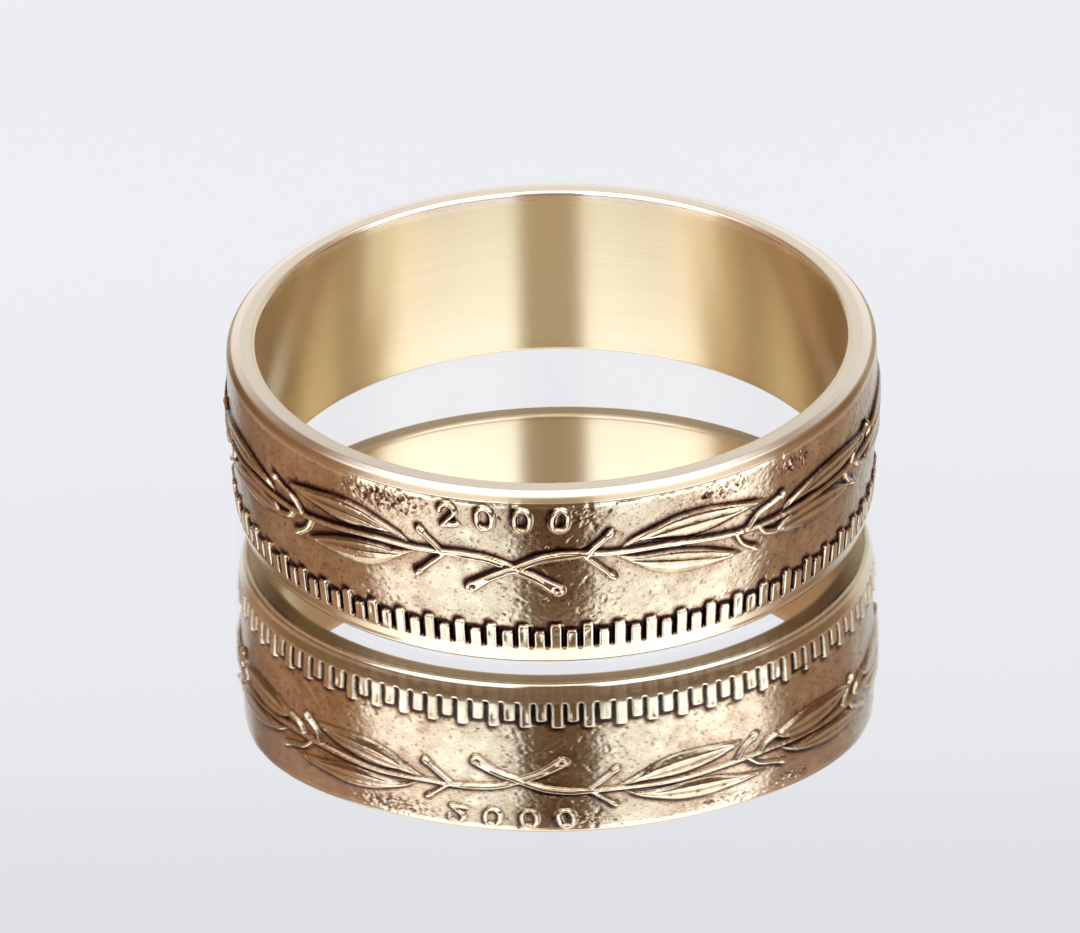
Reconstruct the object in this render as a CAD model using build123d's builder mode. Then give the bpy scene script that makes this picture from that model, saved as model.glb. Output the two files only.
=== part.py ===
from build123d import *
import os
from math import cos, radians, sin

# A finger ring folded from a struck bronze coin, in millimetres. It lies on the coin's toothed
# rim. +Z is the axis of the finger hole, and the origin is the hole's centre in the plane that
# the rim rests on. Azimuths are in degrees from -Y, growing towards +X.

# Band
BORE_R = 9.5             # finger hole
WIDTH = 6.1              # along the finger
FIELD_FOOT_WALL = 0.78   # wall of the field where it leaves the plain rim
FIELD_BELLY_WALL = 0.98  # wall of the field at its fullest
FIELD_TOP_WALL = 0.95    # wall of the field under the polished shoulder
BELLY_SHARE = 0.62       # how far up the field that fullest place is
RIM_PROUD = 0.13         # how far the plain rim stands out of the field's foot
RIM_H = 0.62             # height of that rim
TOP_FLAT = 0.52          # flat left by the cut through the coin's middle
SHOULDER_H = 0.26        # polished shoulder between that flat and the field
MOUTH_ROUND = 0.14       # rounding of the finger hole's two mouths
RIM_ROUND = 0.26         # rounding of the rim's outer corner
SHOULDER_ROUND = 0.24    # rounding where the shoulder meets the field

# Struck relief
RELIEF = 0.13            # how far ridges, stems and figures stand out of the field
PAD_RELIEF = 0.07        # how far the hollow of a leaf stands out of it
TOOTH_RELIEF = 0.10      # how far the tooth faces stand out of it
RIDGE_ROOT = 0.20        # how deep ridges, stems and figures are rooted in the band
PAD_ROOT = 0.16          # the same of the hollows, and then of the teeth
TOOTH_ROOT = 0.18

# Teeth along the rim, a tall one and a short one in turn
TOOTH_PAIRS = 65
TOOTH_SHARE = 0.66       # of the pitch, the rest is the slot
TALL_TOOTH = 0.84        # above the plain rim
SHORT_TOOTH = 0.62
TOOTH_FOOT = 0.155       # how far every tooth reaches down into the rim
TOOTH_AZIMUTH = -0.47    # middle of the first tall tooth

# Wreath: two branches that cross in front and run round both sides
CROSSING_AZIMUTH = -7.3
CROSSING_Z = 3.54
WREATH_RISE = 1.47       # highest leaf above the crossing
STEM_W = 0.22
STALK_W = 0.13
LEAF_RIDGE_W = 0.09
MIDRIB_W = 0.10
BERRY_R = 0.15
CUT_END_R = 0.16
JUNCTIONS = 5            # places along each branch that bear berries and leaves
FIRST_JUNCTION = 12.2    # azimuths from the crossing
JUNCTION_PITCH = 28.2

# Plain number over the crossing
FIGURES = "2000"
FIGURE_H = 0.86
FIGURE_W = 0.66
FIGURE_STROKE = 0.14
FIGURE_PITCH = 6.4
FIGURES_AZIMUTH = -9.0
FIGURES_Z = 5.27
FIGURE_SPLAY = 9.0       # lean of the two outer figures

# The tables give azimuths in degrees, and heights over the crossing as shares of WREATH_RISE.
# The first is a stem from its cut end to the first junction, from the crossing's azimuth. The
# others are counted from a junction's own azimuth, for the first junction and for the rest.
STEM_START = (
    # azimuth, height
    (-7.4, -0.52),
    (-3.6, -0.20),
    (0.0, 0.00),
    (4.1, 0.23),
    (8.1, 0.32),
    (12.2, 0.33),
)
STEM_RUNS = (
    # azimuth, height
    ((0.0, 0.33), (9.0, 0.32), (18.0, 0.23), (28.2, 0.14)),
    ((0.0, 0.14), (9.0, 0.15), (18.0, 0.13), (28.2, 0.14)),
)
STALKS = (
    # azimuth and height of the foot, of the bend and of the berry
    (((0.2, 0.33), (2.4, 0.55), (4.4, 0.80)), ((0.0, 0.28), (2.3, 0.02), (4.6, -0.27))),
    (((1.1, 0.14), (4.4, 0.42), (9.2, 0.62)), ((-1.0, 0.10), (0.4, -0.16), (3.0, -0.41))),
)
LEAVES = (
    # azimuth and height of the foot, of the crest, of the belly and of the tip
    (((5.6, 0.36), (19.6, 1.00), (18.4, 0.41), (32.0, 0.72)),
     ((4.8, 0.24), (15.4, 0.18), (17.0, -0.47), (27.4, -0.42))),
    (((8.6, 0.16), (23.0, 0.72), (24.0, 0.18), (37.0, 0.52)),
     ((7.0, -0.20), (17.0, 0.11), (17.6, -0.50), (28.3, -0.36))),
)

# The field's profile is one arc that starts inside the rim, and what caps the relief follows it.
RIM_R = BORE_R + FIELD_FOOT_WALL + RIM_PROUD
FIELD_FOOT_Z = RIM_H / 2
FIELD_TOP_Z = WIDTH - SHOULDER_H
FIELD_BELLY_Z = FIELD_FOOT_Z + (FIELD_TOP_Z - FIELD_FOOT_Z) * BELLY_SHARE
MEAN_R = BORE_R + FIELD_BELLY_WALL
TOOTH_PITCH = 360 / (2 * TOOTH_PAIRS)
TOOTH_W = TOOTH_SHARE * radians(TOOTH_PITCH) * RIM_R


def field_points(out):
    """Three points, radius and height, of the field's profile moved outwards by out."""
    return (
        (BORE_R + FIELD_FOOT_WALL + out, FIELD_FOOT_Z),
        (BORE_R + FIELD_BELLY_WALL + out, FIELD_BELLY_Z),
        (BORE_R + FIELD_TOP_WALL + out, FIELD_TOP_Z),
    )


def skin(root, out):
    """A thin ring that follows the field, from root under it to out above it."""
    with BuildPart() as layer:
        with BuildSketch(Plane.XZ):
            with BuildLine():
                inner = ThreePointArc(*field_points(-root))
                outer = ThreePointArc(*field_points(out))
                Line(inner @ 0, outer @ 0)
                Line(inner @ 1, outer @ 1)
            make_face()
        revolve(axis=Axis.Z)
    return layer.part


def outward_plane(azimuth, height=0.0, lean=0.0):
    """A plane inside the finger hole that faces the band at azimuth, its local Y upwards."""
    turn = radians(azimuth)
    out = Vector(sin(turn), -cos(turn), 0)
    along = Vector(cos(turn), sin(turn), 0)
    facing = Plane(origin=out * (BORE_R * cos(radians(JUNCTION_PITCH))) + Vector(0, 0, height),
                   x_dir=along, z_dir=out)
    return facing.rotated((0, 0, lean))


def on_plane(point, middle, base=0.0):
    """A table's azimuth and height as a point on the outward plane at the azimuth middle."""
    azimuth, share = point
    return (MEAN_R * sin(radians(base + azimuth - middle)), CROSSING_Z + WREATH_RISE * share)


PAD_SKIN = skin(PAD_ROOT, PAD_RELIEF)
TOOTH_SKIN = skin(TOOTH_ROOT, TOOTH_RELIEF)
RIDGE_SKIN = skin(RIDGE_ROOT, RELIEF)


def leaf_pad(points, plane):
    """The shallow inside of a leaf, up to the middle of its ridge."""
    foot, crest, belly, tip = points
    with BuildPart() as pad:
        with BuildSketch(plane):
            with BuildLine():
                ThreePointArc(foot, crest, tip)
                ThreePointArc(tip, belly, foot)
            make_face()
            offset(amount=-LEAF_RIDGE_W / 2, mode=Mode.REPLACE)
        extrude(amount=BORE_R)
        add(PAD_SKIN, mode=Mode.INTERSECT)
    return pad.part


def leaf_ridge(points, plane):
    """The ridge round a leaf, with its midrib."""
    foot, crest, belly, tip = points
    centre = ((crest[0] + belly[0]) / 2, (crest[1] + belly[1]) / 2)
    with BuildPart() as ridge:
        with BuildSketch(plane):
            with BuildLine():
                ThreePointArc(foot, crest, tip)
                ThreePointArc(tip, belly, foot)
            make_face()
            offset(amount=-LEAF_RIDGE_W, mode=Mode.SUBTRACT)
            with BuildLine() as rib:
                ThreePointArc(foot, centre, tip)
            trace(rib.line, line_width=MIDRIB_W)
        extrude(amount=BORE_R)
        add(RIDGE_SKIN, mode=Mode.INTERSECT)
    return ridge.part


def strip(points, plane, width, end_r):
    """A raised strip along a smooth path, with a round end of radius end_r on its last point."""
    with BuildPart() as raised:
        with BuildSketch(plane):
            with BuildLine() as path:
                Spline(*points)
            trace(path.line, line_width=width)
            with Locations(points[-1]):
                Circle(end_r)
        extrude(amount=BORE_R)
        add(RIDGE_SKIN, mode=Mode.INTERSECT)
    return raised.part


def tooth(height):
    """One tooth at azimuth 0 with a round top, height above the plain rim."""
    with BuildPart() as raised:
        with BuildSketch(outward_plane(0, RIM_H)):
            straight = height - TOOTH_W / 2
            with Locations((0, (straight - TOOTH_FOOT) / 2)):
                Rectangle(TOOTH_W, straight + TOOTH_FOOT)
            with Locations((0, straight)):
                Circle(TOOTH_W / 2)
        extrude(amount=BORE_R)
        add(TOOTH_SKIN, mode=Mode.INTERSECT)
    return raised.part


def figure(shape, plane):
    """One figure of the number, about the plane's origin."""
    side, top = FIGURE_W / 2, FIGURE_H / 2
    half = FIGURE_STROKE / 2
    with BuildPart() as raised:
        with BuildSketch(plane):
            if shape == "0":
                Ellipse(side, top)
                Ellipse(side - FIGURE_STROKE, top - FIGURE_STROKE, mode=Mode.SUBTRACT)
            else:
                with BuildLine() as stroke:
                    crown = ThreePointArc((half - side, top - side), (0, top - half),
                                          (side - half, top - side))
                    Line(crown @ 1, (half - side, half - top))
                    Line((half - side, half - top), (side, half - top))
                trace(stroke.line, line_width=FIGURE_STROKE)
        extrude(amount=BORE_R)
        add(RIDGE_SKIN, mode=Mode.INTERSECT)
    return raised.part


def branch():
    """The raised pieces of one branch, from its cut end before the crossing to its last leaves."""
    start = [on_plane(point, 0) for point in reversed(STEM_START)]
    pieces = [strip(start, outward_plane(CROSSING_AZIMUTH), STEM_W, CUT_END_R)]
    for step in range(JUNCTIONS):
        base = FIRST_JUNCTION + JUNCTION_PITCH * step
        kind = min(step, len(LEAVES) - 1)
        if step < JUNCTIONS - 1:
            middle = base + JUNCTION_PITCH / 2
            run = [on_plane(point, middle, base) for point in STEM_RUNS[kind]]
            pieces.append(strip(run, outward_plane(CROSSING_AZIMUTH + middle), STEM_W, STEM_W / 2))
        for stalk in STALKS[kind]:
            points = [on_plane(point, base, base) for point in stalk]
            pieces.append(strip(points, outward_plane(CROSSING_AZIMUTH + base), STALK_W, BERRY_R))
        for leaf in LEAVES[kind]:
            middle = base + (leaf[0][0] + leaf[-1][0]) / 2
            points = [on_plane(point, middle, base) for point in leaf]
            plane = outward_plane(CROSSING_AZIMUTH + middle)
            pieces += [leaf_pad(points, plane), leaf_ridge(points, plane)]
    return pieces


# Two branches, the second the mirror image of the first, which cross at the front.
with BuildPart() as wreath:
    add(branch())
    mirror(about=Plane(origin=(0, 0, 0), z_dir=outward_plane(CROSSING_AZIMUTH).x_dir))

# The number, its outer figures leaning outwards.
with BuildPart() as number:
    last = (len(FIGURES) - 1) / 2
    places = [place - last for place in range(len(FIGURES))]
    planes = [outward_plane(FIGURES_AZIMUTH + FIGURE_PITCH * place, FIGURES_Z,
                            -FIGURE_SPLAY * place / last) for place in places]
    add([figure(shape, plane) for shape, plane in zip(FIGURES, planes)])

# Tall and short teeth in turn, all round.
with BuildPart() as teeth:
    with PolarLocations(0, TOOTH_PAIRS, start_angle=TOOTH_AZIMUTH):
        add(tooth(TALL_TOOTH))
    with PolarLocations(0, TOOTH_PAIRS, start_angle=TOOTH_AZIMUTH + TOOTH_PITCH):
        add(tooth(SHORT_TOOTH))

# The band with its plain rim, and everything that was struck on it.
with BuildPart() as coin_ring:
    with BuildSketch(Plane.XZ):
        with BuildLine():
            field = ThreePointArc(*field_points(0))
            Polyline(field @ 1, (BORE_R + TOP_FLAT, WIDTH), (BORE_R, WIDTH), (BORE_R, 0),
                     (BORE_R + FIELD_FOOT_WALL, 0), field @ 0)
        make_face()
        with Locations((BORE_R, 0)):
            Rectangle(RIM_R - BORE_R, RIM_H, align=(Align.MIN, Align.MIN))
        fillet(vertices().group_by(Axis.X)[0], MOUTH_ROUND)
        fillet(vertices().sort_by_distance((RIM_R, 0))[0], RIM_ROUND)
        fillet(vertices().sort_by_distance(field @ 1)[0], SHOULDER_ROUND)
    revolve(axis=Axis.Z)
    add([teeth.part, wreath.part, number.part])

os.makedirs("parts", exist_ok=True)
coin_ring.part.label = "coin_ring"
export_step(coin_ring.part, "parts/coin_ring.step")
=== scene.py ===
"""A finger ring folded from a struck bronze coin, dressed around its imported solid.

Sizes are in millimetres until a mesh is made, which is in metres. +Z is the axis of the finger
hole and the ring rests on z = 0. Azimuths are in degrees from -Y, growing towards +X. The outer
face is one height map: each part of the coin's relief is a function of azimuth and height. A
fade is a pair of values, and something rises from nothing at the first to all at the second.
"""
import logging
from collections.abc import Callable, Sequence
from dataclasses import dataclass, field
from enum import Enum
from math import cos, pi, radians, sin, tan

import bpy
import numpy as np
from mathutils import Matrix, Vector


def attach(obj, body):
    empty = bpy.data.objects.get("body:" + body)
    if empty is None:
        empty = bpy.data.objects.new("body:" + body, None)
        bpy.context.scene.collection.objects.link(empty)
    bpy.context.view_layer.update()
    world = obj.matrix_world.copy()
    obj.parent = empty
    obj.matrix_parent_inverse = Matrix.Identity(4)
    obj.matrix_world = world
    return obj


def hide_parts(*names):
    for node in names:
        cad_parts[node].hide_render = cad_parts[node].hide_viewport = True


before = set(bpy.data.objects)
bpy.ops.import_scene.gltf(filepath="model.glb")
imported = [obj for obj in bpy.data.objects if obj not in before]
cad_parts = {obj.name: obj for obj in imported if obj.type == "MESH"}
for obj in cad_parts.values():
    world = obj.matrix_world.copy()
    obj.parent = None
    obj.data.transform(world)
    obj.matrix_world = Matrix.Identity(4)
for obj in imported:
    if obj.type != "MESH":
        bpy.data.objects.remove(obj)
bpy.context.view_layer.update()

MM = 0.001
TINY = 1e-6
LOG = logging.getLogger("coin_ring")

Array = np.ndarray
Pair = tuple[float, float]
Points = Sequence[Pair]
Rgb = tuple[float, float, float]
Leaf = tuple[Points, Points, Points]


def linear(colour: str) -> tuple[float, float, float, float]:
    """Turn an sRGB hex colour to linear light.

    Args:
        colour: Six hex digits.

    Returns:
        Red, green, blue and full alpha, linear.
    """
    parts = np.array([int(colour[i:i + 2], 16) for i in (0, 2, 4)]) / 255
    light = np.where(parts <= 0.04045, parts / 12.92, ((parts + 0.055) / 1.055) ** 2.4)
    return (*light.tolist(), 1.0)


def ease(values: Array, start: float, end: float) -> Array:
    """Rise smoothly from 0 at start to 1 at end: 3t^2 - 2t^3, t the clipped share of the way."""
    share = np.clip((values - start) / (end - start), 0.0, 1.0)
    return share * share * (3 - 2 * share)


def blend_heights(one: Array, other: Array, power: float = 6.0) -> Array:
    """Join two reliefs with a soft valley: the power mean's root of the sum of their powers."""
    return (np.maximum(one, 0) ** power + np.maximum(other, 0) ** power) ** (1 / power)


def smooth_curve(points: Points, spacing: float = 0.04) -> Array:
    """Lay a Catmull-Rom curve through the points.

    Between two points it is the cubic whose slopes at them are half the step between their
    neighbours.

    Args:
        points: Places it passes, in mm.
        spacing: About how far apart the returned points are, in mm.

    Returns:
        Points along the curve, one a row.
    """
    knots = np.asarray(points, float)
    ends = np.vstack([2 * knots[0] - knots[1], knots, 2 * knots[-1] - knots[-2]])
    before, start, end, after = ends[:-3], ends[1:-2], ends[2:-1], ends[3:]
    count = max(3, int(np.ceil(np.linalg.norm(end - start, axis=1).max() / spacing)))
    t = np.linspace(0, 1, count, endpoint=False)[None, :, None]
    a, b, c, d = (p[:, None, :] for p in (before, start, end, after))
    curve = 0.5 * (2 * b + (c - a) * t + (2 * a - 5 * b + 4 * c - d) * t ** 2
                   + (3 * b - a - 3 * c + d) * t ** 3)
    return np.vstack([curve.reshape(-1, 2), knots[-1:]])


def nearest(along: Array, up: Array, curve: Array) -> tuple[Array, Array]:
    """Measure each place's distance from a line of straight steps.

    Args:
        along: First coordinates of the places, in mm.
        up: Second coordinates.
        curve: Points of the line, one a row.

    Returns:
        The distances, and how far along the line the nearest points are, from 0 to 1.
    """
    start, step = curve[:-1], np.diff(curve, axis=0)
    lengths = np.linalg.norm(step, axis=1)
    square = np.maximum(lengths ** 2, TINY ** 2)
    dx, dy = along[..., None] - start[:, 0], up[..., None] - start[:, 1]
    share = np.clip((dx * step[:, 0] + dy * step[:, 1]) / square, 0, 1)
    gaps = (dx - share * step[:, 0]) ** 2 + (dy - share * step[:, 1]) ** 2
    best = gaps.argmin(-1)[..., None]
    run = np.concatenate([[0.0], np.cumsum(lengths)[:-1]])
    reached = np.take_along_axis(run + share * lengths, best, -1)[..., 0]
    return np.sqrt(np.take_along_axis(gaps, best, -1)[..., 0]), reached / lengths.sum()


def within(along: Array, up: Array, outline: Array) -> Array:
    """Tell which places a closed outline holds: those whose level ray crosses it oddly often.

    Args:
        along: First coordinates of the places, in mm.
        up: Second coordinates.
        outline: Points of the outline, one a row.

    Returns:
        True for each place inside.
    """
    x0, y0 = outline[:, 0], outline[:, 1]
    x1, y1 = np.roll(x0, -1), np.roll(y0, -1)
    spans = (y0 > up[..., None]) != (y1 > up[..., None])
    rise = np.where(y1 == y0, TINY, y1 - y0)
    crossing = x0 + (up[..., None] - y0) * (x1 - x0) / rise
    return (spans & (along[..., None] < crossing)).sum(-1) % 2 == 1


@dataclass
class StruckFace:
    """The outer face unrolled, on a grid: relief over the field in mm, and extra darkening,
    from dark specks and from painted shade in the slots between the teeth.

    Rows run up the face and columns round it, where the last column meets the first.
    """

    radius: float = 10.45   # at which an azimuth becomes a length round the face
    columns: int = 1760
    rows: int = 150
    bottom: float = 0.26
    top: float = 5.72
    relief: Array = field(init=False)
    stain_and_shade: Array = field(init=False)

    def __post_init__(self) -> None:
        """Lay out the grid, flat and clean."""
        self.azimuths = np.arange(self.columns) * (360 / self.columns) - 180
        self.heights = np.linspace(self.bottom, self.top, self.rows)
        self.relief = np.zeros((self.rows, self.columns))
        self.stain_and_shade = np.zeros((self.rows, self.columns))
        self.step = 2 * pi * self.radius / self.columns
        self.rise = self.heights[1] - self.heights[0]

    def lengths(self, azimuths: Array) -> Array:
        """Turn azimuths to lengths on the unrolled face."""
        return np.radians(azimuths) * self.radius

    def raise_shape(self, shape: Callable[[Array, Array], Array], extent: Array,
                    reach: float = 0.3) -> None:
        """Add a shape to the relief in a window around it.

        Args:
            shape: Gives the height at each place, from its two coordinates in mm.
            extent: Points whose bounding box, widened by reach, is the window.
            reach: How far the shape goes beyond that box.
        """
        low, high = extent.min(0) - reach, extent.max(0) + reach
        half = pi * self.radius
        first, last = ((x + half) / self.step for x in (low[0], high[0]))
        columns = np.arange(int(np.floor(first)), int(np.ceil(last)) + 1)
        rows = np.flatnonzero((self.heights >= low[1]) & (self.heights <= high[1]))
        along, up = np.meshgrid(columns * self.step - half, self.heights[rows])
        window = np.ix_(rows, columns % self.columns)
        self.relief[window] = blend_heights(self.relief[window], shape(along, up))

    def blur(self, values: Array, size: float) -> Array:
        """Soften a map with a Gaussian, as a product in Fourier space.

        The map is doubled with its mirror image first, so its top doesn't run into its bottom.

        Args:
            values: The map.
            size: The Gaussian's deviation in mm.

        Returns:
            The softened map.
        """
        doubled = np.vstack([values, values[::-1]])
        up = np.fft.fftfreq(2 * self.rows, self.rise)[:, None]
        along = np.fft.rfftfreq(self.columns, self.step)[None]
        fall = np.exp(-2 * (pi * size) ** 2 * (up ** 2 + along ** 2))
        return np.fft.irfft2(np.fft.rfft2(doubled) * fall, doubled.shape)[:self.rows]

    def grain(self, size: float, seed: int) -> Array:
        """Make even lumps of that size in mm: blurred white noise, scaled to unit deviation."""
        lumps = self.blur(np.random.default_rng(seed).standard_normal(self.relief.shape), size)
        return lumps / lumps.std()


@dataclass(frozen=True)
class ToothedRim:
    """The plain rim and the square teeth that stand on it, tall and short in turn."""

    proud: float = 0.13
    height: float = 0.62
    rim_fade: Pair = (0.03, -0.05)   # across its top edge
    tooth_proud: float = 0.115    # of a tooth's face, over the field as the rim is
    pairs: int = 65
    tooth_width: float = 0.365
    tall_top: float = 1.47
    short_top: float = 1.25
    first_azimuth: float = -0.47
    seed: int = 7                 # of the teeth's differences:
    uneven_top: float = 0.02      # how much a top differs, in mm,
    uneven_width: float = 0.06    # and a width, as a share of it
    corner: float = 0.10          # rounding of a tooth's top corners
    fillet: float = 0.045         # how softly a tooth grows out of the rim
    slope: float = 0.075          # width of the slope round a tooth
    dimple: float = 0.018         # depth of the worn hollow in a tooth's face,
    dimple_half: Pair = (0.08, 0.2)  # its half extents
    dimple_up: float = 0.1        # and how far over the face's middle it is
    slot_depth: float = 0.06      # how far a slot goes under the field
    slot_start: float = 0.14      # how far from a tooth's middle it starts
    slot_side: Pair = (0.0, 0.07)    # fade of its depth away from the tooth,
    slot_foot: Pair = (0.0, 0.08)    # away from the rim
    slot_head: Pair = (1.49, 1.10)   # and down from the teeth's tops
    black: float = 0.8            # how dark the painted shade in a slot is
    shade_side: Pair = (-0.03, 0.03)   # and the same three fades of that
    shade_foot: Pair = (-0.02, 0.03)
    shade_head: Pair = (1.45, 1.19)
    bevel: float = 0.185          # how far in the rim leans for each mm down
    bevel_top: float = 0.68
    bevel_fade: Pair = (0.05, -0.03)
    foot_in: float = 0.11         # how far in and up the rounding of its foot reaches
    foot_up: float = 0.16

    def lean_in(self, heights: Array) -> Array:
        """How far in the rim lies: a straight bevel, and a quarter of an ellipse at its foot."""
        under = np.clip(1 - heights / self.foot_up, 0, 1)
        return (self.bevel * np.maximum(self.bevel_top - heights, 0)
                + self.foot_in * (1 - np.sqrt(1 - under ** 2)))

    def strike(self, face: StruckFace) -> None:
        """Raise the rim and teeth.

        A tooth is a box with rounded top corners: the height follows the signed distance from
        that outline, joined to the rim's by a soft minimum, and an oval bell is taken from its
        middle. A slot sinks between two teeth, and painted shade darkens it.

        Args:
            face: The face to strike.
        """
        pitch = 360 / (2 * self.pairs)
        turns = (face.azimuths - self.first_azimuth) / pitch
        number = np.round(turns)
        across = np.abs((turns - number) * radians(pitch) * face.radius)[None]
        wear = np.random.default_rng(self.seed).uniform(-1, 1, (3, 2 * self.pairs))
        which = number.astype(int) % (2 * self.pairs)
        uneven_top, uneven_width, uneven_face = wear[:, which]
        top = np.where(which % 2 == 0, self.tall_top, self.short_top)
        top = top + self.uneven_top * uneven_top
        half = self.tooth_width / 2 * (1 + self.uneven_width * uneven_width)
        up = face.heights[:, None]
        dx = across - (half - self.corner)[None]
        dy = up - (top - self.corner)[None]
        outside = np.hypot(np.maximum(dx, 0), np.maximum(dy, 0)) - self.corner
        gap = outside + np.minimum(np.maximum(dx, dy), 0)
        rim_gap = up - self.height
        joined = -self.fillet * np.log(np.exp(-gap / self.fillet)
                                       + np.exp(-rim_gap / self.fillet))
        teeth = self.tooth_proud * ease(joined, self.slope / 2, -self.slope / 2)
        middle = (self.height + top)[None] / 2 + self.dimple_up
        hollow = np.exp(-(across / self.dimple_half[0]) ** 2
                        - ((up - middle) / self.dimple_half[1]) ** 2)
        teeth -= self.dimple * (1 + uneven_face)[None] / 2 * hollow * (up > self.height)
        rim = (self.proud - self.tooth_proud) * ease(rim_gap, *self.rim_fade)
        slot = (across > self.slot_start) & (up < top[None])
        sunk = (ease(gap, *self.slot_side) * ease(rim_gap, *self.slot_foot)
                * ease(up, *self.slot_head) * slot)
        face.relief = blend_heights(face.relief, teeth) + rim - self.slot_depth * sunk
        face.relief -= self.lean_in(up) * ease(rim_gap, *self.bevel_fade)
        # painted shade in the slot between two teeth
        face.stain_and_shade += (self.black * ease(gap, *self.shade_side) * ease(rim_gap, *self.shade_foot)
                       * ease(up, *self.shade_head))


class Side(Enum):
    """Which way a branch runs from the crossing, as the sign of its azimuths."""

    RIGHT = 1
    LEFT = -1


@dataclass(frozen=True)
class Wreath:
    """Two branches that cross in front and run round both sides, with berries and leaves.

    Azimuths are counted from the crossing, and heights in mm from it.
    """

    azimuth: float = -7.3
    height: float = 3.54
    relief: float = 0.13
    stem_half: float = 0.125      # before the first junction
    twig_half: float = 0.075      # after it
    thinning: Pair = (0.34, 0.46)    # fade between the two, along the stem
    stalk_half: float = 0.060
    slope: float = 0.06
    flare: float = 0.05           # how much wider half a stem is at its cut end
    flare_fade: Pair = (0.09, 0.0)
    groove: float = 0.40          # share of a stem's height that its middle groove takes
    groove_half: float = 0.055
    groove_fade: Pair = (0.05, 0.10)
    pit_depth: float = 0.95       # share of its height that the pit in its cut end takes
    pit_in: float = 0.06          # how far in from that end the pit is
    pit_half: Pair = (0.10, 0.06)
    moat: Pair = (0.02, 0.12)     # fade beside the right stem of what it crosses
    crossing_points: int = 60     # of the stem's curve, those up to beyond the crossing
    end_points: int = 4           # of a curve, those that make its end
    berry_r: float = 0.135
    berry_proud: float = 1.12     # its height as a share of the relief
    berry_slope: float = 0.03     # how far its slope goes beyond its radius
    berry_top: float = 0.06
    leaf_edge: float = 0.26       # shares of the height: a leaf's sharp edge,
    leaf_swell: float = 0.40      # its swell from edge to edge,
    leaf_lobe: float = 0.34       # its two lobes beside the midrib
    midrib: float = 0.30          # and the midrib in the crease between them
    fullness: float = 1.6         # above 1 a lobe is fullest above its middle
    crease: float = 0.032         # half width of the midrib
    crease_fall: int = 4          # power of the way along it by which it fades
    left_droop: float = 0.13      # how much lower the left branch runs
    droop_fade: Pair = (0.0, 9.0)
    repeat: float = 28.2          # azimuth from the second junction to the next
    repeats: int = 4
    stem: Points = ((-7.5, -0.78), (-4.0, -0.34), (0.0, 0.0), (4.1, 0.34), (8.1, 0.49),
                    (12.2, 0.51), (17.0, 0.47), (24.3, 0.48), (28.4, 0.43), (32.3, 0.35),
                    (35.9, 0.27), (40.4, 0.19))
    stem_repeat: Points = ((0.0, 0.19), (6.6, 0.14), (13.0, 0.17), (20.0, 0.20), (28.2, 0.19))
    first_stalks: tuple[Points, ...] = (
        ((12.4, 0.52), (14.4, 0.84), (16.5, 1.19)),
        ((12.2, 0.40), (14.3, 0.05), (16.9, -0.41)))
    stalks: tuple[Points, ...] = (
        ((1.1, 0.22), (3.5, 0.59), (6.8, 0.76), (9.2, 0.91)),
        ((-1.1, 0.12), (0.2, -0.26), (3.0, -0.61)))
    first_leaves: tuple[Leaf, ...] = (
        (((17.6, 0.52), (20.4, 0.91), (24.0, 1.19), (27.7, 1.40), (32.5, 1.47), (37.3, 1.35),
          (41.5, 1.20), (45.8, 1.00)),
         ((17.6, 0.52), (21.2, 0.79), (25.0, 0.72), (30.4, 0.60), (34.4, 0.63), (37.1, 0.72),
          (41.0, 0.88), (45.8, 1.00)),
         ((20.6, 0.80), (27.0, 0.97), (32.4, 1.01), (37.2, 1.00), (43.0, 0.98))),
        (((16.6, 0.40), (21.5, 0.27), (24.3, 0.28), (28.3, 0.22), (32.2, 0.06), (35.4, -0.13),
          (40.6, -0.56)),
         ((16.6, 0.40), (19.4, 0.08), (21.4, -0.17), (23.7, -0.43), (27.3, -0.64),
          (31.4, -0.70), (36.0, -0.66), (40.6, -0.56)),
         ((20.0, 0.12), (26.2, -0.12), (31.0, -0.28), (37.6, -0.48))))
    leaves: tuple[Leaf, ...] = (
        (((8.2, 0.20), (11.4, 0.60), (15.4, 0.85), (19.2, 1.00), (23.1, 1.06), (26.8, 1.04),
          (30.3, 0.97), (36.4, 0.78)),
         ((8.2, 0.20), (11.3, 0.43), (15.2, 0.38), (18.9, 0.29), (22.7, 0.29), (27.0, 0.36),
          (36.4, 0.78)),
         ((11.6, 0.50), (18.0, 0.63), (25.0, 0.68), (33.4, 0.76))),
        (((7.0, -0.30), (9.7, 0.00), (13.6, 0.14), (17.1, 0.14), (20.8, 0.08), (24.4, -0.08),
          (29.6, -0.48)),
         ((7.0, -0.30), (11.0, -0.57), (14.8, -0.71), (18.5, -0.74), (22.2, -0.71),
          (25.9, -0.62), (29.6, -0.48)),
         ((9.0, -0.29), (16.0, -0.30), (22.0, -0.38), (27.4, -0.46))))
    leaf_stalk: Points = ((3.6, 0.12), (5.0, -0.16), (7.6, -0.31))

    def strike(self, face: StruckFace) -> None:
        """Raise both branches, the right one over the left one."""
        for side in (Side.LEFT, Side.RIGHT):
            self.strike_branch(face, side)

    def strike_branch(self, face: StruckFace, side: Side) -> None:
        """Raise one branch, from its cut end before the crossing to its last leaves.

        Args:
            face: The face to strike.
            side: Which branch.
        """
        self.strike_leaves(face, side, self.first_leaves, 0.0)
        for stalk in self.first_stalks:
            self.strike_berry(face, side, stalk, 0.0)
        for step in range(self.repeats):
            base = self.stem[-1][0] + self.repeat * step
            self.strike_leaves(face, side, self.leaves, base)
            self.strike_line(face, self.curve(face, side, self.leaf_stalk, base),
                             self.twig_half)
            for stalk in self.stalks:
                self.strike_berry(face, side, stalk, base)
            if step < self.repeats - 1:
                self.strike_line(face, self.curve(face, side, self.stem_repeat, base),
                                 self.twig_half)
        self.strike_stem(face, side)

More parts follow.
